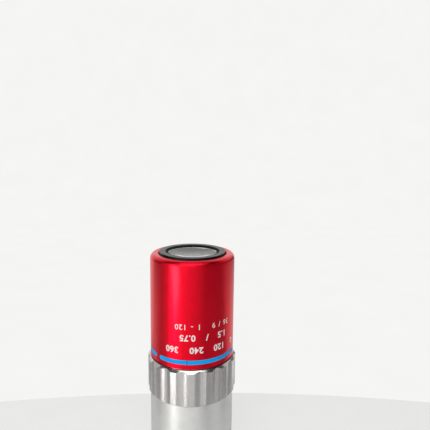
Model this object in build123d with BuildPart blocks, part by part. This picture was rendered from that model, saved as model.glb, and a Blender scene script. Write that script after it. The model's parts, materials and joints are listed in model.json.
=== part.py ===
from build123d import *
import os
from math import cos, degrees, radians, sin, sqrt

# Sizes in millimetres. Z runs up the optical axis from the face of the threaded end to the front lens.

# Thread and mounting shoulder
thread_diameter = 26.0
thread_length = 5.0
thread_wall = 3.0
thread_chamfer = 0.5
relief_width = 0.9
relief_depth = 0.5
relief_sink = 0.3
relief_land = 0.3
shoulder_width = 3.1
ledge_thickness = 3.0

# Lengths of the body, which add up to 78 from the shoulder to the front rim
barrel_length = 23.7
grip_height = 14.0
shadow_gap = 0.35
sleeve_length = 39.3
front_proud = 0.65
sleeve_engagement = 7.0

# How far the grip ring stands out from the barrel and the sleeve stands back from it
grip_rise = 0.9
sleeve_step = 0.1

# Walls from the sleeve inwards to the clear aperture
sleeve_wall = 1.67
spigot_wall = 1.77
lens_barrel_wall = 1.3
cell_wall = 1.15
lens_lip = 0.75

# Clearances, on the radius
lens_clearance = 0.03
cell_clearance = 0.02
fit_clearance = 0.03
front_gap = 0.35
centring_play = 0.25
screw_clearance = 0.02

# Edges of the body
shoulder_edge = 0.3
grip_edge = 0.85
sleeve_bottom_edge = 0.15
sleeve_front_round = 1.7
sleeve_front_wall = 2.0
opening_chamfer = 0.1

# Flutes of the grip ring
flute_count = 16
flute_radius = 5.0
flute_depth = 0.6
flute_edge = 0.15
register_width = 0.9

# Colour band let into the sleeve
band_rise = 1.86
band_width = 1.63
band_groove = 0.25
band_recess = 0.04
band_break_angle = 6.4
band_break_direction = -140.0

# Front cell
front_overhang = 0.1
front_flange = 3.0
front_slope_width = 0.15
funnel_width = 0.95
funnel_depth = 0.38
lip_thickness = 0.1

# Lens barrel, its shim and its locking screws
flange_inset = 0.3
flange_thickness = 2.0
shim_thickness = 0.5
barrel_tail = 0.5
screw_count = 3
lock_screw_diameter = 2.0
lock_screw_rise = 5.0
lock_screw_direction = 30.0
centring_screw_diameter = 1.6
centring_screw_direction = 90.0
screw_recess = 0.1
socket_depth = 0.6

# Cells, spacers and retaining rings
seat_width = 0.8
seat_thickness = 0.8
lens_bevel = 0.2
cell_recess = 1.2
retainer_height = 1.5
retainer_recess = 0.3
long_spacer_length = 9.0
stop_spacer_length = 6.6
rear_spacer_length = 3.7
spacer_wall = 2.0
stop_thickness = 0.6
stop_aperture = 9.6
stack_retainer_height = 2.0
stack_retainer_bore = 10.0
spanner_slot_width = 1.2
spanner_slot_depth = 0.7

# Lens faces. A positive radius curves round a centre on the rear side, and 0 is flat.
front_lens_front = -80.0
front_lens_back = -24.0
front_lens_edge = 2.55
front_air_gap = 0.6
second_lens_front = 0.0
second_lens_back = -22.0
second_lens_edge = 1.9
second_air_gap = 0.5
third_lens_front = 28.0
third_lens_joint = -20.0
third_lens_back = 0.0
third_front_edge = 1.5
third_rear_centre = 1.8
third_air_gap = 0.5
fourth_lens_step = 1.4
fourth_lens_front = 20.0
fourth_lens_joint = -18.0
fourth_lens_back = 24.0
fourth_front_edge = 1.3
fourth_rear_centre = 1.6
centring_lens_rim = 5.0
centring_lens_front = -14.0
centring_lens_joint = 9.0
centring_lens_back = -30.0
centring_front_centre = 1.2
centring_rear_edge = 0.7
rear_lens_rim = 4.0
rear_lens_front = -8.0
rear_lens_back = -25.0
rear_lens_centre = 1.6

# Radii that follow from the walls and clearances
thread_r = thread_diameter / 2
rear_bore_r = thread_r - thread_wall
barrel_r = thread_r + shoulder_width
grip_r = barrel_r + grip_rise
sleeve_r = barrel_r - sleeve_step
sleeve_bore_r = sleeve_r - sleeve_wall
spigot_r = sleeve_bore_r - fit_clearance
mount_bore_r = spigot_r - spigot_wall
lens_barrel_r = mount_bore_r - fit_clearance
stack_bore_r = lens_barrel_r - lens_barrel_wall
cell_r = stack_bore_r - cell_clearance
lens_bore_r = cell_r - cell_wall
lens_rim = lens_bore_r - lens_clearance
fourth_lens_rim = lens_rim - fourth_lens_step
aperture_r = lens_rim - lens_lip
front_ring_r = lens_barrel_r + front_overhang
opening_r = front_ring_r + front_gap
flange_r = spigot_r - flange_inset
spacer_bore_r = cell_r - spacer_wall
lock_screw_r = lock_screw_diameter / 2
centring_screw_r = centring_screw_diameter / 2

# Heights of the body
shoulder_z = thread_length
barrel_top = shoulder_z + barrel_length
grip_top = barrel_top + grip_height
sleeve_bottom = grip_top + shadow_gap
sleeve_top = sleeve_bottom + sleeve_length
front_z = sleeve_top + front_proud
spigot_top = sleeve_bottom + sleeve_engagement
flange_bottom = spigot_top + shim_thickness
lens_barrel_front = front_z - front_flange


def drop(radius, reach):
    """How far a lens face falls from its vertex to the given reach."""
    if radius == 0:
        return 0.0
    fall = abs(radius) - sqrt(radius**2 - reach**2)
    return fall if radius > 0 else -fall


def half_face(radius, vertex, reach):
    """Draw a lens face from the axis out to its reach and give the end point."""
    end = (reach, vertex - drop(radius, reach))
    if radius == 0:
        Line((0, vertex), end)
    else:
        middle = (reach / 2, vertex - drop(radius, reach / 2))
        ThreePointArc((0, vertex), middle, end)
    return end


def turn_lens(rim, front_radius, front_vertex, back_radius, back_vertex):
    """A lens element with a narrow flat bevel round both faces."""
    reach = rim - lens_bevel
    with BuildPart() as element:
        with BuildSketch(Plane.XZ):
            with BuildLine():
                front_end = half_face(front_radius, front_vertex, reach)
                back_end = half_face(back_radius, back_vertex, reach)
                Polyline(front_end, (rim, front_end[1]), (rim, back_end[1]), back_end)
                Line((0, front_vertex), (0, back_vertex))
            make_face()
        revolve(axis=Axis.Z)
    return element


def turn_ring(*outline):
    """A ring turned from an outline of radius and height."""
    with BuildPart() as ring:
        with BuildSketch(Plane.XZ):
            with BuildLine():
                Polyline(*outline, close=True)
            make_face()
        revolve(axis=Axis.Z)
    return ring


def turn_cell(outer, bore, top, seat, seat_r):
    """A lens cell whose lens drops in from the front on to a seat at the rear."""
    bottom = seat - seat_thickness
    outside = [(seat_r, bottom), (outer, bottom), (outer, top)]
    inside = [(bore, top), (bore, seat), (seat_r, seat)]
    return turn_ring(*outside, *inside)


def turn_tube(inner, outer, bottom, top):
    """A plain tube, such as a spacer or a shim."""
    return turn_ring((inner, bottom), (outer, bottom), (outer, top), (inner, top))


def turn_retainer(inner, outer, bottom, top):
    """A retaining ring with two spanner slots across its rear face."""
    with BuildPart() as retainer:
        with BuildSketch(Plane.XY.offset(bottom)):
            Circle(outer)
            Circle(inner, mode=Mode.SUBTRACT)
        extrude(amount=top - bottom)
        with BuildSketch(Plane.XY.offset(bottom)):
            Rectangle(2 * outer, spanner_slot_width)
        extrude(amount=spanner_slot_depth, mode=Mode.SUBTRACT)
    return retainer


def outward_plane(direction, start, height):
    """A plane that faces outwards from the axis."""
    angle = radians(direction)
    outwards = Vector(cos(angle), sin(angle), 0)
    return Plane(origin=outwards * start + Vector(0, 0, height), z_dir=outwards)


def turning_plane(direction):
    """A plane through the axis, from which a section is turned towards larger angles."""
    angle = radians(direction)
    return Plane(
        origin=(0, 0, 0), x_dir=(cos(angle), sin(angle), 0), z_dir=(sin(angle), -cos(angle), 0)
    )


def radial_planes(direction, start, height):
    """Planes that face outwards, evenly spaced round the axis."""
    turns = [direction + index * 360 / screw_count for index in range(screw_count)]
    return [outward_plane(turn, start, height) for turn in turns]


def turn_screws(radius, direction, start, end, height):
    """Grub screws with a hexagon socket, evenly spaced round the axis."""
    with BuildPart() as screws:
        with BuildSketch(*radial_planes(direction, start, height)):
            Circle(radius)
        extrude(amount=end - start)
        with BuildSketch(*radial_planes(direction, end, height)):
            RegularPolygon(radius / 2, 6)
        extrude(amount=-socket_depth, mode=Mode.SUBTRACT)
    return screws


def save(piece, name):
    """Label a finished piece and write its file."""
    piece.part.label = name
    export_step(piece.part, f"parts/{name}.step")


os.makedirs("parts", exist_ok=True)

# Front lens and front cell
lip_under = front_z - funnel_depth - lip_thickness
front_lens_front_z = lip_under + drop(front_lens_front, lens_rim - lens_bevel)
front_lens_back_rim = lip_under - front_lens_edge
front_lens_back_z = front_lens_back_rim + drop(front_lens_back, lens_rim - lens_bevel)
retainer_top = front_lens_back_z - drop(front_lens_back, aperture_r)
retainer_bottom = retainer_top - retainer_height
front_cell_bottom = retainer_bottom - retainer_recess

front_lens = turn_lens(lens_rim, front_lens_front, front_lens_front_z, front_lens_back, front_lens_back_z)
front_lens_retainer = turn_retainer(aperture_r, lens_rim, retainer_bottom, retainer_top)

with BuildPart() as front_cell:
    with BuildSketch(Plane.XZ):
        with BuildLine():
            Polyline(
                (aperture_r, lip_under),
                (aperture_r, front_z - funnel_depth),
                (aperture_r + funnel_width, front_z),
                (front_ring_r - front_slope_width, front_z),
                (front_ring_r, front_z - front_proud),
                (front_ring_r, lens_barrel_front),
                (cell_r, lens_barrel_front),
                (cell_r, front_cell_bottom),
                (lens_bore_r, front_cell_bottom),
                (lens_bore_r, lip_under),
                close=True,
            )
        make_face()
    revolve(axis=Axis.Z)

# Second lens, a single element
second_seat_r = lens_rim - seat_width
second_front_z = front_lens_back_z - front_air_gap
second_back_rim = second_front_z - drop(second_lens_front, lens_rim - lens_bevel) - second_lens_edge
second_back_z = second_back_rim + drop(second_lens_back, lens_rim - lens_bevel)
second_seat = second_back_z - drop(second_lens_back, second_seat_r)
second_cell_bottom = second_seat - seat_thickness

second_lens = turn_lens(lens_rim, second_lens_front, second_front_z, second_lens_back, second_back_z)
second_cell = turn_cell(cell_r, lens_bore_r, front_cell_bottom, second_seat, second_seat_r)

# Third lens, a cemented pair
third_reach = lens_rim - lens_bevel
third_front_z = second_back_z - second_air_gap
third_joint_rim = third_front_z - drop(third_lens_front, third_reach) - third_front_edge
third_joint_z = third_joint_rim + drop(third_lens_joint, third_reach)
third_back_z = third_joint_z - third_rear_centre
third_seat = third_back_z - drop(third_lens_back, second_seat_r)
third_cell_bottom = third_seat - seat_thickness

third_lens_a = turn_lens(lens_rim, third_lens_front, third_front_z, third_lens_joint, third_joint_z)
third_lens_b = turn_lens(lens_rim, third_lens_joint, third_joint_z, third_lens_back, third_back_z)
third_cell = turn_cell(cell_r, lens_bore_r, second_cell_bottom, third_seat, second_seat_r)

# Fourth lens, a cemented pair with a hollow rear face
fourth_reach = fourth_lens_rim - lens_bevel
fourth_front_z = third_back_z - third_air_gap
fourth_joint_rim = fourth_front_z - drop(fourth_lens_front, fourth_reach) - fourth_front_edge
fourth_joint_z = fourth_joint_rim + drop(fourth_lens_joint, fourth_reach)
fourth_back_z = fourth_joint_z - fourth_rear_centre
fourth_seat = fourth_back_z - drop(fourth_lens_back, fourth_reach)
fourth_cell_bottom = fourth_seat - seat_thickness

fourth_lens_a = turn_lens(
    fourth_lens_rim, fourth_lens_front, fourth_front_z, fourth_lens_joint, fourth_joint_z
)
fourth_lens_b = turn_lens(
    fourth_lens_rim, fourth_lens_joint, fourth_joint_z, fourth_lens_back, fourth_back_z
)
fourth_cell = turn_cell(
    cell_r, fourth_lens_rim + lens_clearance, third_cell_bottom, fourth_seat, fourth_lens_rim - seat_width
)

# Spacers with the aperture stop between them
stop_top = fourth_cell_bottom - long_spacer_length
stop_bottom = stop_top - stop_thickness
centring_top = stop_bottom - stop_spacer_length

long_spacer = turn_tube(spacer_bore_r, cell_r, stop_top, fourth_cell_bottom)
aperture_stop = turn_tube(stop_aperture / 2, cell_r, stop_bottom, stop_top)
stop_spacer = turn_tube(spacer_bore_r, cell_r, centring_top, stop_bottom)

# Centring lens, a cemented pair whose cell is set sideways by three screws
centring_reach = centring_lens_rim - lens_bevel
centring_seat_r = centring_lens_rim - seat_width
centring_cell_r = cell_r - centring_play
centring_front_z = centring_top - cell_recess + drop(centring_lens_front, centring_reach)
centring_joint_z = centring_front_z - centring_front_centre
centring_joint_rim = centring_joint_z - drop(centring_lens_joint, centring_reach)
centring_back_z = centring_joint_rim - centring_rear_edge + drop(centring_lens_back, centring_reach)
centring_seat = centring_back_z - drop(centring_lens_back, centring_seat_r)
centring_bottom = centring_seat - seat_thickness
centring_screw_z = (centring_top + centring_bottom) / 2

centring_lens_a = turn_lens(
    centring_lens_rim, centring_lens_front, centring_front_z, centring_lens_joint, centring_joint_z
)
centring_lens_b = turn_lens(
    centring_lens_rim, centring_lens_joint, centring_joint_z, centring_lens_back, centring_back_z
)
centring_cell = turn_cell(
    centring_cell_r, centring_lens_rim + lens_clearance, centring_top, centring_seat, centring_seat_r
)
centring_screws = turn_screws(
    centring_screw_r,
    centring_screw_direction,
    centring_cell_r,
    lens_barrel_r - screw_recess,
    centring_screw_z,
)

# Rear lens, a single element
rear_reach = rear_lens_rim - lens_bevel
rear_seat_r = rear_lens_rim - seat_width
rear_top = centring_bottom - rear_spacer_length
rear_front_z = rear_top - cell_recess + drop(rear_lens_front, rear_reach)
rear_back_z = rear_front_z - rear_lens_centre
rear_seat = rear_back_z - drop(rear_lens_back, rear_seat_r)
rear_bottom = rear_seat - seat_thickness
stack_bottom = rear_bottom - stack_retainer_height
lens_barrel_rear = stack_bottom - barrel_tail

rear_spacer = turn_tube(spacer_bore_r, cell_r, rear_top, centring_bottom)
rear_lens = turn_lens(rear_lens_rim, rear_lens_front, rear_front_z, rear_lens_back, rear_back_z)
rear_cell = turn_cell(cell_r, rear_lens_rim + lens_clearance, rear_top, rear_seat, rear_seat_r)
stack_retainer = turn_retainer(stack_retainer_bore / 2, cell_r, stack_bottom, rear_bottom)

# Lens barrel, which hangs from its flange, and the shim that sets its height
with BuildPart() as lens_barrel:
    with BuildSketch(Plane.XZ):
        with BuildLine():
            Polyline(
                (stack_bore_r, lens_barrel_rear),
                (lens_barrel_r, lens_barrel_rear),
                (lens_barrel_r, flange_bottom),
                (flange_r, flange_bottom),
                (flange_r, flange_bottom + flange_thickness),
                (lens_barrel_r, flange_bottom + flange_thickness),
                (lens_barrel_r, lens_barrel_front),
                (stack_bore_r, lens_barrel_front),
                close=True,
            )
        make_face()
    revolve(axis=Axis.Z)
    with BuildSketch(*radial_planes(centring_screw_direction, centring_cell_r, centring_screw_z)):
        Circle(centring_screw_r + screw_clearance)
    extrude(amount=lens_barrel_r, mode=Mode.SUBTRACT)

parfocal_shim = turn_tube(mount_bore_r, flange_r, spigot_top, flange_bottom)

# Mounting barrel: thread, shoulder, plain barrel and the spigot that carries the ring and the sleeve
lock_screw_z = barrel_top + lock_screw_rise

with BuildPart() as mount_barrel:
    with BuildSketch(Plane.XZ):
        with BuildLine():
            Polyline(
                (rear_bore_r + thread_chamfer, 0),
                (thread_r - thread_chamfer, 0),
                (thread_r, thread_chamfer),
                (thread_r, shoulder_z - relief_width),
                (thread_r - relief_depth, shoulder_z - relief_width),
                (thread_r - relief_depth, shoulder_z + relief_sink),
                (thread_r + relief_land, shoulder_z + relief_sink),
                (thread_r + relief_land, shoulder_z),
                (barrel_r - shoulder_edge, shoulder_z),
                (barrel_r, shoulder_z + shoulder_edge),
                (barrel_r, barrel_top),
                (spigot_r, barrel_top),
                (spigot_r, spigot_top),
                (mount_bore_r, spigot_top),
                (mount_bore_r, shoulder_z + ledge_thickness),
                (rear_bore_r, shoulder_z + ledge_thickness),
                (rear_bore_r, thread_chamfer),
                close=True,
            )
        make_face()
    revolve(axis=Axis.Z)
    with BuildSketch(*radial_planes(lock_screw_direction, lens_barrel_r, lock_screw_z)):
        Circle(lock_screw_r + screw_clearance)
    extrude(amount=spigot_r, mode=Mode.SUBTRACT)

lock_screws = turn_screws(
    lock_screw_r, lock_screw_direction, lens_barrel_r, spigot_r - screw_recess, lock_screw_z
)

# Grip ring: a fluted outline with turned edges, and a narrow register that the sleeve stands on
flute_centre_r = grip_r - flute_depth + flute_radius
flute_start = -90 + 180 / flute_count

with BuildPart() as grip_ring:
    with BuildSketch(Plane.XY.offset(barrel_top)) as fluted_outline:
        Circle(grip_r)
        with PolarLocations(flute_centre_r, flute_count, flute_start):
            Circle(flute_radius, mode=Mode.SUBTRACT)
        fillet(fluted_outline.vertices(), flute_edge)
        Circle(sleeve_bore_r, mode=Mode.SUBTRACT)
    extrude(amount=grip_height)
    with BuildSketch(Plane.XZ):
        with BuildLine():
            Polyline(
                (0, barrel_top),
                (grip_r - grip_edge, barrel_top),
                (grip_r, barrel_top + grip_edge),
                (grip_r, grip_top - grip_edge),
                (grip_r - grip_edge, grip_top),
                (0, grip_top),
                close=True,
            )
        make_face()
    revolve(axis=Axis.Z, mode=Mode.INTERSECT)
    with BuildSketch(Plane.XY.offset(grip_top)):
        Circle(sleeve_bore_r + register_width)
        Circle(sleeve_bore_r, mode=Mode.SUBTRACT)
    extrude(amount=shadow_gap)

# Colour band, paint in a milled groove that stops short of a full turn, and the sleeve round it
band_bottom = sleeve_bottom + band_rise
band_middle = band_bottom + band_width / 2
band_floor_r = sleeve_r - band_groove
band_face_r = sleeve_r - band_recess
cutter_r = band_width / 2
cutter_angle = degrees(cutter_r / sleeve_r)
cutter_start = band_break_direction + band_break_angle / 2 + cutter_angle
cutter_turn = 360 - band_break_angle - 2 * cutter_angle


def mill_band(outer):
    """The groove from its floor out to a radius, with the round ends that the cutter leaves."""
    ends = [outward_plane(cutter_start + turn, 0, band_middle) for turn in (0, cutter_turn)]
    with BuildPart() as band:
        with BuildSketch(turning_plane(cutter_start)):
            with Locations((band_floor_r, band_bottom)):
                Rectangle(outer - band_floor_r, band_width, align=(Align.MIN, Align.MIN))
        revolve(axis=Axis.Z, revolution_arc=cutter_turn)
        with BuildSketch(*ends):
            Circle(cutter_r)
        extrude(amount=2 * outer)
        with BuildSketch(Plane.XZ):
            with Locations((band_floor_r, band_bottom)):
                Rectangle(outer - band_floor_r, band_width, align=(Align.MIN, Align.MIN))
        revolve(axis=Axis.Z, mode=Mode.INTERSECT)
    return band


colour_band = mill_band(band_face_r)
band_cut = mill_band(sleeve_r + band_groove)

with BuildPart() as cover_sleeve:
    with BuildSketch(Plane.XZ) as sleeve_outline:
        with BuildLine():
            Polyline(
                (sleeve_bore_r, sleeve_bottom),
                (sleeve_r - sleeve_bottom_edge, sleeve_bottom),
                (sleeve_r, sleeve_bottom + sleeve_bottom_edge),
                (sleeve_r, sleeve_top),
                (opening_r + opening_chamfer, sleeve_top),
                (opening_r, sleeve_top - opening_chamfer),
                (opening_r, sleeve_top - sleeve_front_wall),
                (sleeve_bore_r, sleeve_top - sleeve_front_wall),
                close=True,
            )
        make_face()
        front_corner = sleeve_outline.vertices().group_by(Axis.Y)[-1].sort_by(Axis.X)[-1]
        fillet(front_corner, sleeve_front_round)
    revolve(axis=Axis.Z)
    add(band_cut.part, mode=Mode.SUBTRACT)

save(mount_barrel, "mount_barrel")
save(grip_ring, "grip_ring")
save(cover_sleeve, "cover_sleeve")
save(colour_band, "colour_band")
save(lens_barrel, "lens_barrel")
save(parfocal_shim, "parfocal_shim")
save(lock_screws, "lock_screws")
save(front_cell, "front_cell")
save(front_lens, "front_lens")
save(front_lens_retainer, "front_lens_retainer")
save(second_cell, "second_cell")
save(second_lens, "second_lens")
save(third_cell, "third_cell")
save(third_lens_a, "third_lens_a")
save(third_lens_b, "third_lens_b")
save(fourth_cell, "fourth_cell")
save(fourth_lens_a, "fourth_lens_a")
save(fourth_lens_b, "fourth_lens_b")
save(long_spacer, "long_spacer")
save(aperture_stop, "aperture_stop")
save(stop_spacer, "stop_spacer")
save(centring_cell, "centring_cell")
save(centring_lens_a, "centring_lens_a")
save(centring_lens_b, "centring_lens_b")
save(centring_screws, "centring_screws")
save(rear_spacer, "rear_spacer")
save(rear_cell, "rear_cell")
save(rear_lens, "rear_lens")
save(stack_retainer, "stack_retainer")
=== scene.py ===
import json
from collections import namedtuple
from math import atan2, cos, floor, pi, radians, sin, tau

import bmesh
import bpy
from bpy.props import FloatProperty, FloatVectorProperty, PointerProperty, StringProperty
from mathutils import Matrix, Quaternion, Vector


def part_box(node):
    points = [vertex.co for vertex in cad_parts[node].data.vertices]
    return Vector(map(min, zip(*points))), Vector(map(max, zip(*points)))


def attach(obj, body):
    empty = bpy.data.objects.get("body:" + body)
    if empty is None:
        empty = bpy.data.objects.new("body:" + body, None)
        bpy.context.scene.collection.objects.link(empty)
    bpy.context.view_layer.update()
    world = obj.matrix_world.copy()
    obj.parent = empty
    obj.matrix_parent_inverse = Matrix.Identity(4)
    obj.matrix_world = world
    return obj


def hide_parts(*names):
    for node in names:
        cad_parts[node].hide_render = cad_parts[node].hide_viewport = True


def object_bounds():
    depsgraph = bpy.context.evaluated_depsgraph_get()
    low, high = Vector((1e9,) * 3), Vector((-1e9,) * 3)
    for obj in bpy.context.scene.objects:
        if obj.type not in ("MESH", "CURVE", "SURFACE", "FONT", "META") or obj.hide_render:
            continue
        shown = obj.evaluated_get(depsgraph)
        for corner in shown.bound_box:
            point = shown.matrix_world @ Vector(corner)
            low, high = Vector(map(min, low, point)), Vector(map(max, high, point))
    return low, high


bl_info = {
    "name": "Microscope Objective",
    "version": (1, 0, 0),
    "blender": (4, 5, 0),
    "location": "View3D > Sidebar > Objective",
    "description": "Finishes, thread, marks and stage of a microscope objective",
    "category": "Object",
}

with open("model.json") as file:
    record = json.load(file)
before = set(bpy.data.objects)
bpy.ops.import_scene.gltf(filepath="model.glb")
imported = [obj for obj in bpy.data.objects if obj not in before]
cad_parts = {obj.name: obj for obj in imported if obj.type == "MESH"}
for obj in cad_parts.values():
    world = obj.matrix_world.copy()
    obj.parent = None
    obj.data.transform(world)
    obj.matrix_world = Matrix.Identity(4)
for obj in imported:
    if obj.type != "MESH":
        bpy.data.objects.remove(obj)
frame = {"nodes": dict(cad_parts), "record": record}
cad_low, cad_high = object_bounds()

MM = 0.001
MICRON = 1e-6
BODY = "root"
MOUNTS = {mount["name"]: mount for mount in frame["record"]["mounts"]}
SLOT_OF = {row["node"]: row["material_slot"] for row in frame["record"]["subparts"]}

# Sizes read from the frame, in metres
THREAD_MOUNT = MOUNTS["mounting_thread"]
THREAD_CREST = THREAD_MOUNT["dims"]["r_mm"] * MM
THREAD_LENGTH = THREAD_MOUNT["dims"]["length_mm"] * MM
THREAD_END = THREAD_MOUNT["pos_m"][2] + THREAD_LENGTH / 2
SLEEVE_LOW, SLEEVE_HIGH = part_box("cover_sleeve")
SLEEVE_RADIUS = SLEEVE_HIGH.x
SLEEVE_BOTTOM = SLEEVE_LOW.z
SLEEVE_TOP = SLEEVE_HIGH.z
GRIP_LOW, GRIP_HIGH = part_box("grip_ring")
GRIP_RADIUS = -GRIP_LOW.y
GRIP_TOP = GRIP_HIGH.z
BODY_HEIGHT = cad_high.z


# Settings


def length(name, description, default):
    """A property that holds a length in metres."""
    return FloatProperty(
        name=name,
        description=description,
        default=default,
        subtype="DISTANCE",
        unit="LENGTH",
        precision=6,
    )


def angle(name, description, default):
    """A property that holds an angle, given here in degrees."""
    return FloatProperty(
        name=name, description=description, default=radians(default), subtype="ANGLE", unit="ROTATION"
    )


def share(name, description, default):
    """A property that holds a share from nothing to all."""
    return FloatProperty(
        name=name, description=description, default=default, min=0.0, max=1.0, subtype="FACTOR"
    )


def colour(name, description, default):
    """A property that holds a linear colour."""
    return FloatVectorProperty(
        name=name, description=description, default=default, min=0.0, max=1.0, size=3, subtype="COLOR"
    )


def words(name, description, default):
    """A property that holds a line of numerals."""
    return StringProperty(name=name, description=description, default=default)


class FinishSettings(bpy.types.PropertyGroup):
    """Colours and gloss of the objective's surfaces."""

    barrel_colour: colour("Barrel", "Satin chrome of the mounting barrel", (0.81, 0.81, 0.795))
    barrel_roughness: share("Barrel roughness", "Roughness of the satin chrome", 0.32)
    grip_colour: colour("Grip ring", "Bright chrome of the fluted ring", (0.61, 0.595, 0.58))
    grip_roughness: share("Grip roughness", "Roughness of the fluted ring", 0.25)
    grip_edge: length("Grip edge", "Height of the shiny upper edge of the fluted ring", 1.2 * MM)
    grip_edge_roughness: share("Grip edge roughness", "Roughness of that edge", 0.13)
    sleeve_colour: colour("Sleeve", "Dye of the anodised sleeve", (0.8, 0.001, 0.018))
    sleeve_roughness: share("Sleeve roughness", "Roughness of the anodised sleeve", 0.38)
    front_edge: length("Front edge", "Height of the rounded front edge of the sleeve", 1.0 * MM)
    front_edge_roughness: share("Front edge roughness", "Roughness of the rounded front edge", 0.3)
    band_colour: colour("Band", "Paint of the colour band", (0.0, 0.38, 0.9))
    band_join: length("Band join", "How far right of the axis the paint's ends meet", -1.55 * MM)
    mark_colour: colour("Marks", "Paint of the numerals", (0.86, 0.84, 0.84))
    black_colour: colour("Black finish", "Black of the cells and rings", (0.004, 0.004, 0.005))
    black_roughness: share("Black roughness", "Roughness of the black finish", 0.2)
    matt_reach: length("Matt reach", "Distance from the axis within which the black is matt", 10.2 * MM)
    matt_roughness: share("Matt roughness", "Roughness of the matt black", 0.75)
    brass_colour: colour("Brass", "Turned brass of the lens barrel", (0.58, 0.4, 0.16))
    steel_colour: colour("Screw steel", "Dark steel of the grub screws", (0.16, 0.16, 0.17))


class ThreadSettings(bpy.types.PropertyGroup):
    """Sizes of the mounting thread."""

    pitch: length("Pitch", "Height of one turn, 36 turns to the inch", 25.4 * MM / 36)
    depth: length("Depth", "Depth of the groove under the crest", 0.43 * MM)
    chamfer: length("Chamfer", "Lead-in at the end of the thread", 0.5 * MM)
    row_height: length("Row height", "Height of one row of faces", 0.07 * MM)


class MarkSettings(bpy.types.PropertyGroup):
    """Numerals on the sleeve, which read with the front lens down."""

    lower_text: words("Lower row", "Bold numerals beside the band", "0 120 240 360")
    middle_text: words("Middle row", "Bold numerals in the middle", "1.5 / 0.75")
    upper_text: words("Upper row", "Light numerals at the top", "36 / 9   1 - 120")
    direction: angle("Direction", "Middle of the rows, round from the photographed side", 16.8)
    thickness: length("Thickness", "Thickness of the paint", 0.05 * MM)
    proud: length("Proud", "How far the paint stands out of the sleeve", 0.02 * MM)


class StageSettings(bpy.types.PropertyGroup):
    """Camera and background."""

    camera_distance: length("Camera distance", "From the optical axis, along the floor", 161.38 * MM)
    camera_height: length("Camera height", "Above the floor", 120.29 * MM)
    camera_turn: angle("Camera turn", "Round the axis from the photographed side", 0.85)
    look_aside: angle("Look aside", "How far the camera looks past the axis to its right", 2.975)
    look_down: angle("Look down", "Tilt of the camera towards the floor", 8.325)
    camera_roll: angle("Camera roll", "Turn of the camera about its own axis", 0.72)
    camera_lens: FloatProperty(
        name="Lens",
        description="Focal length on a 36 mm sensor, in millimetres",
        default=36.333,
        subtype="DISTANCE_CAMERA",
        unit="CAMERA",
    )
    floor_colour: colour("Floor", "Pale board under the objective", (0.9, 0.9, 0.88))
    floor_glow: share("Floor glow", "Share of the board that looks evenly lit", 0.72)
    wall_colour: colour("Wall", "Pale backdrop", (0.92, 0.92, 0.91))
    room_colour: colour("Room", "Pale room that the metal shows", (0.61, 0.62, 0.62))
    room_light: share("Room light", "Light that the room sheds on matt surfaces", 0.86)
    right_card_colour: colour("Right card", "Grey of the card to the right", (0.32, 0.32, 0.32))
    left_card_colour: colour("Left card", "Grey of the card to the left", (0.14, 0.14, 0.14))
    upper_card_colour: colour("Upper cards", "Dark blue of the cards higher up", (0.02, 0.03, 0.07))
    ceiling_colour: colour("Ceiling card", "Grey of the card above the objective", (0.26, 0.26, 0.27))
    board_card_colour: colour("Board cards", "Grey of the cards on the board", (0.46, 0.46, 0.47))


# Node helpers


def start_finish(name):
    """A new node material, its tree and its shader."""
    finish = bpy.data.materials.new(name)
    finish.use_nodes = True
    tree = finish.node_tree
    return finish, tree, tree.nodes["Principled BSDF"]


def feed(tree, socket, value):
    """Link a socket to another one, or set its value."""
    if isinstance(value, bpy.types.NodeSocket):
        tree.links.new(value, socket)
    else:
        socket.default_value = value


def set_inputs(tree, node, **inputs):
    """Set or link a node's inputs by name."""
    for key, value in inputs.items():
        feed(tree, node.inputs[key.replace("_", " ")], value)


def add_node(tree, kind, settings=None, **inputs):
    """A node with its settings, and its inputs set or linked by name."""
    node = tree.nodes.new(kind)
    for key, value in (settings or {}).items():
        setattr(node, key, value)
    set_inputs(tree, node, **inputs)
    return node


def object_place(tree):
    """Coordinates on the object in metres."""
    return add_node(tree, "ShaderNodeTexCoord").outputs["Object"]


def grain(tree, waves, detail=2.0, roughness=0.55):
    """Noise with its own number of waves to the metre along X, Y and Z."""
    place = add_node(tree, "ShaderNodeMapping", Vector=object_place(tree), Scale=waves).outputs[0]
    noise = {"Vector": place, "Scale": 1.0, "Detail": detail, "Roughness": roughness}
    return add_node(tree, "ShaderNodeTexNoise", **noise).outputs["Fac"]


def remap(tree, source, low, high, start=0.3, end=0.7):
    """A value carried from one range to another."""
    settings = {"clamp": True}
    inputs = {"From_Min": start, "From_Max": end, "To_Min": low, "To_Max": high}
    return add_node(tree, "ShaderNodeMapRange", settings, Value=source, **inputs).outputs["Result"]


def calculate(tree, operation, first, second=0.0):
    """One step of arithmetic on values or sockets."""
    node = add_node(tree, "ShaderNodeMath", {"operation": operation})
    feed(tree, node.inputs[0], first)
    feed(tree, node.inputs[1], second)
    return node.outputs[0]


def choose(tree, factor, first, second):
    """A value between two values."""
    mix = add_node(tree, "ShaderNodeMix", {"data_type": "FLOAT"})
    for index, value in ((0, factor), (2, first), (3, second)):
        feed(tree, mix.inputs[index], value)
    return mix.outputs[0]


def tint(tree, factor, first, second):
    """A colour between two colours."""
    mix = add_node(tree, "ShaderNodeMix", {"data_type": "RGBA"})
    feed(tree, mix.inputs[0], factor)
    for index, value in ((6, first), (7, second)):
        plain = not isinstance(value, bpy.types.NodeSocket)
        feed(tree, mix.inputs[index], (*value, 1.0) if plain else value)
    return mix.outputs[2]


def shade(base, factor):
    """A colour made darker or lighter."""
    return tuple(min(1.0, channel * factor) for channel in base)


def mottle(tree, noise, base, darkest, palest):
    """A colour that varies with a noise between two shades of itself."""
    return tint(tree, remap(tree, noise, 0.0, 1.0), shade(base, darkest), shade(base, palest))


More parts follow.
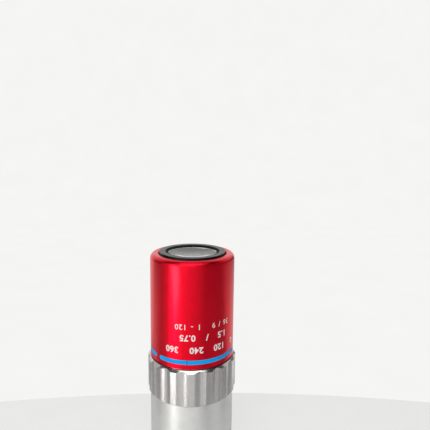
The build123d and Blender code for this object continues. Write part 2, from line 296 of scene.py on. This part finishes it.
def soft_edge(tree, radius):
    """The surface normal, rounded over sharp edges."""
    return add_node(tree, "ShaderNodeBevel", {"samples": 4}, Radius=radius).outputs["Normal"]


def relief(tree, height, distance, normal=None):
    """The surface normal, tilted by a height in parts of the distance."""
    inputs = {"Normal": normal} if normal else {}
    return add_node(tree, "ShaderNodeBump", Height=height, Distance=distance, **inputs).outputs["Normal"]


def distance_from_axis(tree):
    """How far a point lies from the optical axis."""
    flat = add_node(tree, "ShaderNodeVectorMath", {"operation": "MULTIPLY"})
    feed(tree, flat.inputs[0], object_place(tree))
    feed(tree, flat.inputs[1], (1.0, 1.0, 0.0))
    reach = add_node(tree, "ShaderNodeVectorMath", {"operation": "LENGTH"})
    feed(tree, reach.inputs[0], flat.outputs["Vector"])
    return reach.outputs["Value"]


def split_place(tree):
    """A point's X, Y and Z as three outputs."""
    return add_node(tree, "ShaderNodeSeparateXYZ", Vector=object_place(tree)).outputs


# Finishes

# Waves to the metre along X, Y and Z
TURNED = (300.0, 300.0, 16000.0)
MILLED = (9000.0, 9000.0, 350.0)
STREAKS = (1800.0, 1800.0, 500.0)
CLOUDS = (260.0, 260.0, 260.0)
FINE = (14000.0, 14000.0, 14000.0)
ENAMEL = (900.0, 900.0, 900.0)
PRINT = (5000.0, 5000.0, 5000.0)
HAZE = (700.0, 700.0, 700.0)

# Edges that the finishes round, and how far the lands, the fades and the band's join reach
CHROME_EDGE = 0.08 * MM
DYED_EDGE = 0.06 * MM
LAND_DEPTH = 0.03 * MM
GRIP_EDGE_FADE = 0.05 * MM
FRONT_EDGE_FADE = 0.5 * MM
MATT_FADE = 0.1 * MM
JOIN_REACH = 0.16 * MM

# A quarter turn, and the share of each colour that a coated lens still reflects
ACROSS_THE_MARKS = 0.25
LENS_COATING = (0.1, 0.095, 0.09, 1.0)


def brush(tree, shader, spread):
    """Make a shader metal that spreads its highlights across the turning marks."""
    tangent = add_node(tree, "ShaderNodeTangent", {"direction_type": "RADIAL", "axis": "Z"})
    set_inputs(
        tree,
        shader,
        Metallic=1.0,
        Anisotropic=spread,
        Anisotropic_Rotation=ACROSS_THE_MARKS,
        Tangent=tangent.outputs["Tangent"],
    )


def satin_chrome(settings):
    """Chromed brass with fine turning marks."""
    finish, tree, shader = start_finish("satin_chrome")
    marks = grain(tree, TURNED, detail=3.0)
    rough = settings.barrel_roughness
    brush(tree, shader, spread=0.8)
    set_inputs(
        tree,
        shader,
        Base_Color=mottle(tree, grain(tree, CLOUDS), settings.barrel_colour, darkest=0.97, palest=1.03),
        Roughness=remap(tree, marks, rough - 0.03, rough + 0.03),
        Normal=relief(tree, marks, 0.5 * MICRON, soft_edge(tree, CHROME_EDGE)),
    )
    return finish


def bright_chrome(settings):
    """Chromed brass, turned on the lands, milled along the flutes and shiny at the upper edge."""
    finish, tree, shader = start_finish("bright_chrome")
    on_land = calculate(tree, "GREATER_THAN", distance_from_axis(tree), GRIP_RADIUS - LAND_DEPTH)
    marks = choose(tree, on_land, grain(tree, MILLED, detail=3.0), grain(tree, TURNED, detail=3.0))
    streaks = grain(tree, STREAKS, detail=4.0, roughness=0.7)
    plain, shiny = settings.grip_roughness, settings.grip_edge_roughness
    edge = GRIP_TOP - settings.grip_edge
    rough = remap(tree, split_place(tree)["Z"], plain, shiny, edge - GRIP_EDGE_FADE, edge)
    brush(tree, shader, spread=0.97)
    set_inputs(
        tree,
        shader,
        Base_Color=mottle(tree, streaks, settings.grip_colour, darkest=0.88, palest=1.1),
        Roughness=calculate(tree, "ADD", rough, remap(tree, marks, -0.03, 0.03)),
        Normal=relief(tree, marks, 0.12 * MICRON, soft_edge(tree, CHROME_EDGE)),
    )
    return finish


def red_anodised(settings):
    """Dyed and sealed anodising on a blasted aluminium sleeve."""
    finish, tree, shader = start_finish("red_anodised")
    blasted = grain(tree, FINE, detail=3.0)
    plain, smooth = settings.sleeve_roughness, settings.front_edge_roughness
    edge = SLEEVE_TOP - settings.front_edge
    rough = remap(tree, split_place(tree)["Z"], plain, smooth, edge - FRONT_EDGE_FADE, edge)
    brush(tree, shader, spread=0.8)
    set_inputs(
        tree,
        shader,
        Base_Color=mottle(tree, grain(tree, CLOUDS), settings.sleeve_colour, darkest=0.97, palest=1.03),
        Roughness=calculate(tree, "ADD", rough, remap(tree, blasted, -0.03, 0.03)),
        Coat_Weight=0.14,
        Coat_Roughness=0.22,
        Normal=relief(tree, blasted, 0.3 * MICRON, soft_edge(tree, DYED_EDGE)),
    )
    return finish


def band_paint(settings):
    """Enamel filled into the groove, a little uneven, with a fine dark line where its ends meet."""
    finish, tree, shader = start_finish("band_paint")
    base = settings.band_colour
    flow = grain(tree, ENAMEL)
    place = split_place(tree)
    beside = calculate(tree, "ABSOLUTE", calculate(tree, "SUBTRACT", place["X"], settings.band_join))
    on_line = calculate(tree, "LESS_THAN", beside, JOIN_REACH)
    in_front = calculate(tree, "LESS_THAN", place["Y"], 0.0)
    join = calculate(tree, "MULTIPLY", on_line, in_front)
    enamel = mottle(tree, flow, base, darkest=0.94, palest=1.04)
    set_inputs(
        tree,
        shader,
        Base_Color=tint(tree, join, enamel, shade(base, factor=0.5)),
        Roughness=remap(tree, flow, 0.34, 0.46),
        Specular_IOR_Level=0.08,
        Normal=relief(tree, flow, 6.0 * MICRON),
    )
    return finish


def mark_paint(settings):
    """White paint of the numerals."""
    finish, tree, shader = start_finish("mark_paint")
    print_grain = grain(tree, PRINT, detail=3.0)
    set_inputs(
        tree,
        shader,
        Base_Color=mottle(tree, print_grain, settings.mark_colour, darkest=0.88, palest=1.0),
        Roughness=remap(tree, print_grain, 0.42, 0.6),
        Normal=relief(tree, print_grain, 3.0 * MICRON),
    )
    return finish


def black_finish(settings):
    """Black on turned brass, matt near the axis and satin further out."""
    finish, tree, shader = start_finish("black_finish")
    marks = grain(tree, TURNED, detail=3.0)
    speckle = grain(tree, FINE)
    matt, satin = settings.matt_roughness, settings.black_roughness
    edge = settings.matt_reach
    rough = remap(tree, distance_from_axis(tree), matt, satin, edge, edge + MATT_FADE)
    set_inputs(
        tree,
        shader,
        Base_Color=mottle(tree, speckle, settings.black_colour, darkest=0.8, palest=1.5),
        Roughness=calculate(tree, "ADD", rough, remap(tree, marks, -0.05, 0.06)),
        IOR=1.45,
        Specular_IOR_Level=0.2,
        Normal=relief(tree, speckle, 0.5 * MICRON, soft_edge(tree, DYED_EDGE)),
    )
    return finish


def turned_brass(settings):
    """Bare brass with its turning marks."""
    finish, tree, shader = start_finish("turned_brass")
    marks = grain(tree, TURNED, detail=3.0)
    set_inputs(
        tree,
        shader,
        Base_Color=mottle(tree, grain(tree, CLOUDS), settings.brass_colour, darkest=0.88, palest=1.06),
        Metallic=1.0,
        Roughness=remap(tree, marks, 0.26, 0.4),
        Normal=relief(tree, marks, 2.0 * MICRON),
    )
    return finish


def screw_steel(settings):
    """Dark oxide on the grub screws."""
    finish, tree, shader = start_finish("screw_steel")
    speckle = grain(tree, FINE)
    set_inputs(
        tree,
        shader,
        Base_Color=mottle(tree, speckle, settings.steel_colour, darkest=0.7, palest=1.2),
        Metallic=1.0,
        Roughness=remap(tree, speckle, 0.3, 0.45),
        Normal=relief(tree, speckle, 1.5 * MICRON),
    )
    return finish


def optical_glass():
    """Polished and coated glass with the faintest haze."""
    finish, tree, shader = start_finish("optical_glass")
    haze = grain(tree, HAZE)
    set_inputs(
        tree,
        shader,
        Base_Color=tint(tree, remap(tree, haze, 0.0, 1.0), (0.95, 0.97, 0.96), (0.98, 0.99, 0.99)),
        Roughness=remap(tree, haze, 0.0, 0.004),
        IOR=1.55,
        Specular_Tint=LENS_COATING,
        Transmission_Weight=1.0,
    )
    return finish


def give_finish(mesh, finish):
    """Make a finish the only one of a mesh."""
    mesh.materials.clear()
    mesh.materials.append(finish)


def dress(slot, finish):
    """Give a finish to every node of a material slot."""
    nodes = [node for node, own_slot in SLOT_OF.items() if own_slot == slot]
    if not nodes:
        raise RuntimeError(f"no node has the material slot {slot}")
    for node in nodes:
        give_finish(frame["nodes"][node].data, finish)


# Meshes

# Rows of numerals: the middle's rise above the sleeve's lower end, height, width and added weight
MarkRow = namedtuple("MarkRow", "name text rise tall wide weight")
MARK_ROWS = (
    MarkRow("lower_marks", "lower_text", rise=7.2 * MM, tall=2.45 * MM, wide=28.8 * MM, weight=0.03),
    MarkRow("middle_marks", "middle_text", rise=11.85 * MM, tall=2.4 * MM, wide=17.8 * MM, weight=0.028),
    MarkRow("upper_marks", "upper_text", rise=15.88 * MM, tall=2.0 * MM, wide=21.4 * MM, weight=0.006),
)
LETTER_SPACING = 1.08
SHARP_EDGE = radians(30)


def add_object(name, data):
    """A new object in the scene."""
    item = bpy.data.objects.new(name, data)
    bpy.context.scene.collection.objects.link(item)
    return item


def add_piece(name, mesh, finish):
    """A new piece of the objective."""
    give_finish(mesh, finish)
    piece = add_object(name, mesh)
    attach(piece, BODY)
    return piece


def reach_of(vertex):
    """A vertex's distance from the optical axis."""
    return vertex.co.to_2d().length


def bearing_of(vertex):
    """A vertex's angle round the optical axis."""
    return atan2(vertex.co.y, vertex.co.x)


def open_thread(barrel, foot):
    """Take the plain crest off the barrel, and give the rims that are left below and above it."""
    hair = 0.004 * MM
    bmesh.ops.remove_doubles(barrel, verts=barrel.verts, dist=hair / 4)

    def is_plain(face):
        top = max(vertex.co.z for vertex in face.verts)
        outside = all(reach_of(vertex) > foot - 2 * hair for vertex in face.verts)
        return hair < top < THREAD_END + hair and outside

    plain = [face for face in barrel.faces if is_plain(face)]
    bmesh.ops.delete(barrel, geom=plain, context="FACES")
    rims = [vertex for vertex in barrel.verts if any(edge.is_boundary for edge in vertex.link_edges)]
    lower = sorted((vertex for vertex in rims if vertex.co.z < THREAD_END / 2), key=bearing_of)
    upper = sorted((vertex for vertex in rims if vertex.co.z > THREAD_END / 2), key=bearing_of)
    if not lower or len(lower) != len(upper):
        raise RuntimeError(f"the thread's two rims differ: {len(lower)} and {len(upper)} points")
    return lower, upper


def threaded_barrel_mesh(settings):
    """The mounting barrel with the turns of its thread cut into the plain crest."""
    foot = THREAD_CREST - settings.chamfer
    barrel = bmesh.new()
    barrel.from_mesh(frame["nodes"]["mount_barrel"].data)
    lower, upper = open_thread(barrel, foot)

    def thread_reach(bearing, height):
        turn = height / settings.pitch - bearing / tau
        groove = settings.depth * (0.5 - 0.5 * cos(tau * turn))
        return min(foot + height, THREAD_CREST - groove)

    steps = floor(THREAD_END / settings.row_height) + 1
    rows = [lower]
    for step in range(1, steps + 1):
        height = THREAD_END * step / steps
        row = []
        for vertex in lower:
            bearing = bearing_of(vertex)
            reach = thread_reach(bearing, height)
            row.append(barrel.verts.new((reach * cos(bearing), reach * sin(bearing), height)))
        rows.append(row)
    rows.append(upper)
    thread = set()
    for row, above in zip(rows, rows[1:]):
        for index in range(len(row)):
            after = (index + 1) % len(row)
            thread.add(barrel.faces.new((row[index], row[after], above[after], above[index])))
    bmesh.ops.recalc_face_normals(barrel, faces=barrel.faces)
    for face in barrel.faces:
        face.smooth = True
    for edge in barrel.edges:
        in_thread = all(face in thread for face in edge.link_faces)
        edge.smooth = in_thread or edge.calc_face_angle(0.0) < SHARP_EDGE
    mesh = bpy.data.meshes.new("threaded_barrel")
    barrel.to_mesh(mesh)
    barrel.free()
    return mesh


def numerals_mesh(letters):
    """The mesh of a line of numerals, and its lowest and highest corners."""
    holder = add_object("numerals", letters)
    bpy.context.view_layer.update()
    mesh = bpy.data.meshes.new_from_object(holder.evaluated_get(bpy.context.evaluated_depsgraph_get()))
    bpy.data.objects.remove(holder)
    low = Vector(min(vertex.co[axis] for vertex in mesh.vertices) for axis in range(3))
    high = Vector(max(vertex.co[axis] for vertex in mesh.vertices) for axis in range(3))
    return mesh, low, high


def flat_numerals(text, row, thickness):
    """Numerals of the row's height, centred on the origin, with gaps that fill the row's width."""
    letters = bpy.data.curves.new("numerals", "FONT")
    letters.body = text
    letters.size = 1.0
    letters.extrude = 0.5
    letters.offset = row.weight
    letters.resolution_u = 4
    letters.space_character = LETTER_SPACING
    # The width grows evenly with the gap between words, so two trials give the gap that fits
    reaches = []
    for gap in (1.0, 2.0):
        letters.space_word = gap
        trial, low, high = numerals_mesh(letters)
        reaches.append((high.x - low.x) / (high.y - low.y) * row.tall)
        bpy.data.meshes.remove(trial)
    letters.space_word = 1.0 + (row.wide - reaches[0]) / (reaches[1] - reaches[0])
    mesh, low, high = numerals_mesh(letters)
    bpy.data.curves.remove(letters)
    scale = row.tall / (high.y - low.y)
    fit = Matrix.Diagonal((scale, scale, thickness, 1.0))
    mesh.transform(fit @ Matrix.Translation(-(low + high) / 2))
    return mesh


def wrap_on_sleeve(mesh, settings, height):
    """Cut a flat mesh into narrow strips and lay it round the sleeve, upside down."""
    strip = 0.4 * MM
    hair = 0.002 * MM
    sheet = bmesh.new()
    sheet.from_mesh(mesh)
    bmesh.ops.remove_doubles(sheet, verts=sheet.verts, dist=hair)
    cuts = floor(max(abs(vertex.co.x) for vertex in sheet.verts) / strip)
    for step in range(-cuts, cuts + 1):
        everything = sheet.verts[:] + sheet.edges[:] + sheet.faces[:]
        plane = {"plane_co": (step * strip, 0, 0), "plane_no": (1, 0, 0)}
        bmesh.ops.bisect_plane(sheet, geom=everything, dist=hair / 2, **plane)
    middle = -pi / 2 + settings.direction
    paint_middle = SLEEVE_RADIUS + settings.proud - settings.thickness / 2
    for vertex in sheet.verts:
        bearing = middle - vertex.co.x / SLEEVE_RADIUS
        radius = paint_middle + vertex.co.z
        vertex.co = (radius * cos(bearing), radius * sin(bearing), height - vertex.co.y)
    bmesh.ops.recalc_face_normals(sheet, faces=sheet.faces)
    sheet.to_mesh(mesh)
    sheet.free()
    return mesh


# Stage

# Turns are in degrees from the camera's side towards its right, and lengths are in metres
SideCard = namedtuple("SideCard", "name paint start end distance low high")
SIDE_CARDS = (
    SideCard("right_card", "right_card_colour", 26, 150, distance=0.3, low=0.0, high=0.16),
    SideCard("left_card", "left_card_colour", -82, -120, distance=0.3, low=0.0, high=0.16),
    SideCard("upper_right_card", "upper_card_colour", 34, 100, distance=0.36, low=0.28, high=0.6),
    SideCard("upper_left_card", "upper_card_colour", -40, -100, distance=0.36, low=0.28, high=0.6),
)

BoardCard = namedtuple("BoardCard", "name start end")
BOARD_CARDS = (
    BoardCard("right_front_card", start=18, end=46),
    BoardCard("right_back_card", start=74, end=104),
    BoardCard("left_front_card", start=-74, end=-100),
    BoardCard("left_back_card", start=-122, end=-150),
)

# A soft light's glow is the brightness of its face, and its roll is in degrees
# Without on_matt, only gloss shows it
Softbox = namedtuple(
    "Softbox", "name turn distance height wide tall glow roll on_matt", defaults=(0, True)
)
LEAN = 34
SOFTBOXES = (
    Softbox("key_light", -47, distance=0.27, height=0.13, wide=0.11, tall=0.25, glow=0.9, roll=LEAN),
    Softbox("side_light", -26, distance=0.3, height=0.14, wide=0.1, tall=0.26, glow=0.5, roll=LEAN),
    Softbox(
        "sheen_light", -44, distance=0.12, height=0.052, wide=0.034, tall=0.05,
        glow=10.0, roll=LEAN, on_matt=False,
    ),
    Softbox("fill_light", -16, distance=0.5, height=0.37, wide=0.4, tall=0.24, glow=2.4),
    Softbox("front_light", 3, distance=0.3, height=0.6, wide=0.6, tall=0.24, glow=2.4),
)


def round_from_camera(settings, turn, distance, height):
    """A place round the axis, counted from the camera's side towards its right."""
    bearing = -pi / 2 + settings.camera_turn + radians(turn)
    return (distance * cos(bearing), distance * sin(bearing), height)


def add_camera(settings):
    """The camera at the photograph's angle."""
    yaw = settings.look_aside - settings.camera_turn
    pitch = settings.look_down
    roll = settings.camera_roll
    forward = Vector((sin(yaw) * cos(pitch), cos(yaw) * cos(pitch), -sin(pitch)))
    level = Vector((cos(yaw), -sin(yaw), 0.0))
    upward = level.cross(forward)
    right = level * cos(roll) + upward * sin(roll)
    up = upward * cos(roll) - level * sin(roll)
    data = bpy.data.cameras.new("camera")
    data.sensor_width = 36.0
    data.lens = settings.camera_lens
    data.clip_start = 1.0 * MM
    data.clip_end = 10.0
    camera = add_object("camera", data)
    place = round_from_camera(settings, 0.0, settings.camera_distance, settings.camera_height)
    turned = Matrix((right, up, -forward)).transposed().to_4x4()
    camera.matrix_world = Matrix.Translation(place) @ turned
    bpy.context.scene.camera = camera


def add_softbox(settings, softbox):
    """A rectangular soft light, aimed at the middle of the objective."""
    lamp = bpy.data.lights.new(softbox.name, "AREA")
    lamp.shape = "RECTANGLE"
    lamp.size = softbox.wide
    lamp.size_y = softbox.tall
    # The watts go with the area, so the size of a light doesn't change its glow
    lamp.energy = softbox.glow * pi * softbox.wide * softbox.tall
    holder = add_object(softbox.name, lamp)
    holder.location = round_from_camera(settings, softbox.turn, softbox.distance, softbox.height)
    holder.visible_camera = False
    holder.visible_diffuse = softbox.on_matt
    holder.rotation_mode = "QUATERNION"
    middle = Vector((0.0, 0.0, BODY_HEIGHT / 2))
    aim = (middle - holder.location).to_track_quat("-Z", "Y")
    holder.rotation_quaternion = aim @ Quaternion((0.0, 0.0, 1.0), radians(softbox.roll))


def seen_by_camera(tree):
    """One for what the camera looks at, and zero for all other light."""
    return add_node(tree, "ShaderNodeLightPath").outputs["Is Camera Ray"]


def seen_directly(tree):
    """One for what the camera, metal and glass look at, and zero for the light on matt surfaces."""
    path = add_node(tree, "ShaderNodeLightPath").outputs
    seen = calculate(tree, "MAXIMUM", path["Is Camera Ray"], path["Is Glossy Ray"])
    return calculate(tree, "MAXIMUM", seen, path["Is Transmission Ray"])


def even_paint(name, base, waves, seen, even):
    """Pale paint with a faint mottle, of which a share looks evenly lit where it is seen."""
    finish, tree, shader = start_finish(name)
    hue = mottle(tree, grain(tree, (waves, waves, waves)), base, darkest=0.985, palest=1.0)
    set_inputs(tree, shader, Base_Color=hue, Roughness=0.7)
    glow = add_node(tree, "ShaderNodeEmission", Color=hue, Strength=1.0)
    mix = add_node(tree, "ShaderNodeMixShader")
    feed(tree, mix.inputs[0], calculate(tree, "MULTIPLY", seen(tree), even))
    feed(tree, mix.inputs[1], shader.outputs[0])
    feed(tree, mix.inputs[2], glow.outputs[0])
    feed(tree, tree.nodes["Material Output"].inputs["Surface"], mix.outputs[0])
    return finish


def card_paint(name, base):
    """Plain matt card."""
    finish, tree, shader = start_finish(name)
    set_inputs(tree, shader, Base_Color=(*base, 1.0), Roughness=0.9)
    return finish


def add_stage_mesh(name, points, faces, finish):
    """A mesh of the stage, which isn't part of the objective."""
    mesh = bpy.data.meshes.new(name)
    mesh.from_pydata(points, [], faces)
    mesh.shade_smooth()
    give_finish(mesh, finish)
    piece = add_object(name, mesh)
    return piece


def strip_faces(steps):
    """Faces of a strip whose points go in pairs from side to side."""
    return [(2 * i, 2 * i + 1, 2 * i + 3, 2 * i + 2) for i in range(steps)]


def add_board(settings):
    """A pale round board whose back edge lies a little behind the objective."""
    radius = 0.66
    behind = 0.042
    segments = 256
    mottle_waves = 60.0
    middle = behind - radius
    ring = [tau * step / segments for step in range(segments)]
    points = [(radius * cos(turn), middle + radius * sin(turn), 0.0) for turn in ring]
    paint = (settings.floor_colour, mottle_waves, seen_by_camera, settings.floor_glow)
    add_stage_mesh("studio_board", points, [range(segments)], even_paint("board_paint", *paint))


def add_backdrop(settings):
    """A pale sweep that runs back under the board and rises behind it."""
    half_width = 1.6
    front, back, top = -1.2, 0.75, 1.5
    cove = 0.25
    drop = -0.003
    segments = 24
    mottle_waves = 25.0
    profile = [(front, drop)]
    for step in range(segments + 1):
        turn = pi / 2 * step / segments
        profile.append((back - cove + cove * sin(turn), drop + cove * (1 - cos(turn))))
    profile.append((back, top))
    points = []
    for along, height in profile:
        points.append((-half_width, along, height))
        points.append((half_width, along, height))
    finish = even_paint("wall_paint", settings.wall_colour, mottle_waves, seen_directly, 1.0)
    add_stage_mesh("studio_backdrop", points, strip_faces(len(profile) - 1), finish)


def add_card(name, points, faces, base):
    """A card that the metal shows and the camera doesn't see."""
    card = add_stage_mesh(name, points, faces, card_paint(f"{name}_paint", base))
    card.visible_camera = False
    return card


def add_bent_card(settings, card, first, second, base):
    """A card between two rims round the axis, each with its distance from the axis and its height."""
    segments = 16
    points = []
    for step in range(segments + 1):
        turn = card.start + (card.end - card.start) * step / segments
        points.append(round_from_camera(settings, turn, *first))
        points.append(round_from_camera(settings, turn, *second))
    return add_card(card.name, points, strip_faces(segments), base)


def add_side_card(settings, card):
    """A card that stands or hangs beside the objective."""
    low, high = (card.distance, card.low), (card.distance, card.high)
    add_bent_card(settings, card, low, high, getattr(settings, card.paint))


def add_board_card(settings, card):
    """A card on the board round the objective, which only the metal sees."""
    near, far, height = 60 * MM, 110 * MM, 0.4 * MM
    sheet = add_bent_card(settings, card, (near, height), (far, height), settings.board_card_colour)
    sheet.visible_diffuse = False
    sheet.visible_shadow = False
    sheet.visible_transmission = False


def add_ceiling_card(settings):
    """A card that hangs above the objective."""
    half_width, height = 0.45, 0.75
    back, front = 0.26, -0.04
    corners = ((-half_width, back), (half_width, back), (half_width, front), (-half_width, front))
    points = [(*corner, height) for corner in corners]
    add_card("ceiling_card", points, [(0, 1, 2, 3)], settings.ceiling_colour)


def add_room(settings):
    """The room's even light."""
    world = bpy.data.worlds.new("room")
    world.use_nodes = True
    tree = world.node_tree
    strength = remap(tree, seen_directly(tree), settings.room_light, 1.0, 0.0, 1.0)
    hue = tint(tree, seen_by_camera(tree), settings.room_colour, settings.wall_colour)
    set_inputs(tree, tree.nodes["Background"], Strength=strength, Color=hue)
    bpy.context.scene.world = world


# Operators


class OBJECTIVE_OT_cut_thread(bpy.types.Operator):
    """Cut the mounting thread into the barrel and finish it in satin chrome"""

    bl_idname = "objective.cut_thread"
    bl_label = "Cut Thread"

    def execute(self, context):
        finish = satin_chrome(context.scene.objective_finish)
        dress("satin_chrome", finish)
        mesh = threaded_barrel_mesh(context.scene.objective_thread)
        piece = add_piece("threaded_barrel", mesh, finish)
        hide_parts("mount_barrel")
        return {"FINISHED"}


class OBJECTIVE_OT_finish_grip(bpy.types.Operator):
    """Finish the fluted grip ring in bright chrome"""

    bl_idname = "objective.finish_grip"
    bl_label = "Finish Grip Ring"

    def execute(self, context):
        dress("bright_chrome", bright_chrome(context.scene.objective_finish))
        return {"FINISHED"}


class OBJECTIVE_OT_finish_sleeve(bpy.types.Operator):
    """Anodise the sleeve and fill its colour band"""

    bl_idname = "objective.finish_sleeve"
    bl_label = "Finish Sleeve"

    def execute(self, context):
        dress("red_anodised", red_anodised(context.scene.objective_finish))
        dress("band_paint", band_paint(context.scene.objective_finish))
        return {"FINISHED"}


class OBJECTIVE_OT_mark_sleeve(bpy.types.Operator):
    """Paint three rows of plain numerals on the sleeve"""

    bl_idname = "objective.mark_sleeve"
    bl_label = "Mark Sleeve"

    def execute(self, context):
        settings = context.scene.objective_marks
        finish = mark_paint(context.scene.objective_finish)
        for row in MARK_ROWS:
            mesh = flat_numerals(getattr(settings, row.text), row, settings.thickness)
            mesh.name = row.name
            add_piece(row.name, wrap_on_sleeve(mesh, settings, SLEEVE_BOTTOM + row.rise), finish)
        return {"FINISHED"}


class OBJECTIVE_OT_finish_cells(bpy.types.Operator):
    """Finish the cells, spacers, stop and retaining rings in black"""

    bl_idname = "objective.finish_cells"
    bl_label = "Finish Cells"

    def execute(self, context):
        dress("black_finish", black_finish(context.scene.objective_finish))
        return {"FINISHED"}


class OBJECTIVE_OT_finish_lenses(bpy.types.Operator):
    """Make the lenses of optical glass"""

    bl_idname = "objective.finish_lenses"
    bl_label = "Finish Lenses"

    def execute(self, context):
        dress("optical_glass", optical_glass())
        return {"FINISHED"}


class OBJECTIVE_OT_finish_works(bpy.types.Operator):
    """Finish the lens barrel and its shim in brass and the screws in dark steel"""

    bl_idname = "objective.finish_works"
    bl_label = "Finish Inner Works"

    def execute(self, context):
        dress("turned_brass", turned_brass(context.scene.objective_finish))
        dress("screw_steel", screw_steel(context.scene.objective_finish))
        return {"FINISHED"}


class OBJECTIVE_OT_set_stage(bpy.types.Operator):
    """Set the camera, the soft lights, the board, the backdrop and the cards"""

    bl_idname = "objective.set_stage"
    bl_label = "Set Stage"

    def execute(self, context):
        scene = context.scene
        settings = scene.objective_stage
        scene.view_settings.view_transform = "Standard"
        add_camera(settings)
        add_board(settings)
        add_backdrop(settings)
        for softbox in SOFTBOXES:
            add_softbox(settings, softbox)
        for card in SIDE_CARDS:
            add_side_card(settings, card)
        for card in BOARD_CARDS:
            add_board_card(settings, card)
        add_ceiling_card(settings)
        add_room(settings)
        return {"FINISHED"}


# Panel and registration

STEPS = (
    OBJECTIVE_OT_cut_thread,
    OBJECTIVE_OT_finish_grip,
    OBJECTIVE_OT_finish_sleeve,
    OBJECTIVE_OT_mark_sleeve,
    OBJECTIVE_OT_finish_cells,
    OBJECTIVE_OT_finish_lenses,
    OBJECTIVE_OT_finish_works,
    OBJECTIVE_OT_set_stage,
)

SETTINGS = {
    "objective_finish": FinishSettings,
    "objective_thread": ThreadSettings,
    "objective_marks": MarkSettings,
    "objective_stage": StageSettings,
}


class OBJECTIVE_PT_build(bpy.types.Panel):
    """Steps that build the objective's looks, and their settings"""

    bl_idname = "OBJECTIVE_PT_build"
    bl_label = "Microscope Objective"
    bl_space_type = "VIEW_3D"
    bl_region_type = "UI"
    bl_category = "Objective"

    def draw(self, context):
        layout = self.layout
        for step in STEPS:
            layout.operator(step.bl_idname)
        for group, kind in SETTINGS.items():
            settings = getattr(context.scene, group)
            box = layout.box()
            for key in kind.__annotations__:
                box.prop(settings, key)


def register():
    """Register the settings, the steps and the panel."""
    for group, settings in SETTINGS.items():
        bpy.utils.register_class(settings)
        setattr(bpy.types.Scene, group, PointerProperty(type=settings))
    for step in STEPS:
        bpy.utils.register_class(step)
    bpy.utils.register_class(OBJECTIVE_PT_build)


def unregister():
    """Take the panel, the steps and the settings away again."""
    bpy.utils.unregister_class(OBJECTIVE_PT_build)
    for step in reversed(STEPS):
        bpy.utils.unregister_class(step)
    for group, settings in SETTINGS.items():
        delattr(bpy.types.Scene, group)
        bpy.utils.unregister_class(settings)


def main():
    """Build the objective's looks and its stage."""
    register()
    bpy.ops.objective.cut_thread()
    bpy.ops.objective.finish_grip()
    bpy.ops.objective.finish_sleeve()
    bpy.ops.objective.mark_sleeve()
    bpy.ops.objective.finish_cells()
    bpy.ops.objective.finish_lenses()
    bpy.ops.objective.finish_works()
    bpy.ops.objective.set_stage()


if __name__ == "__main__":
    main()
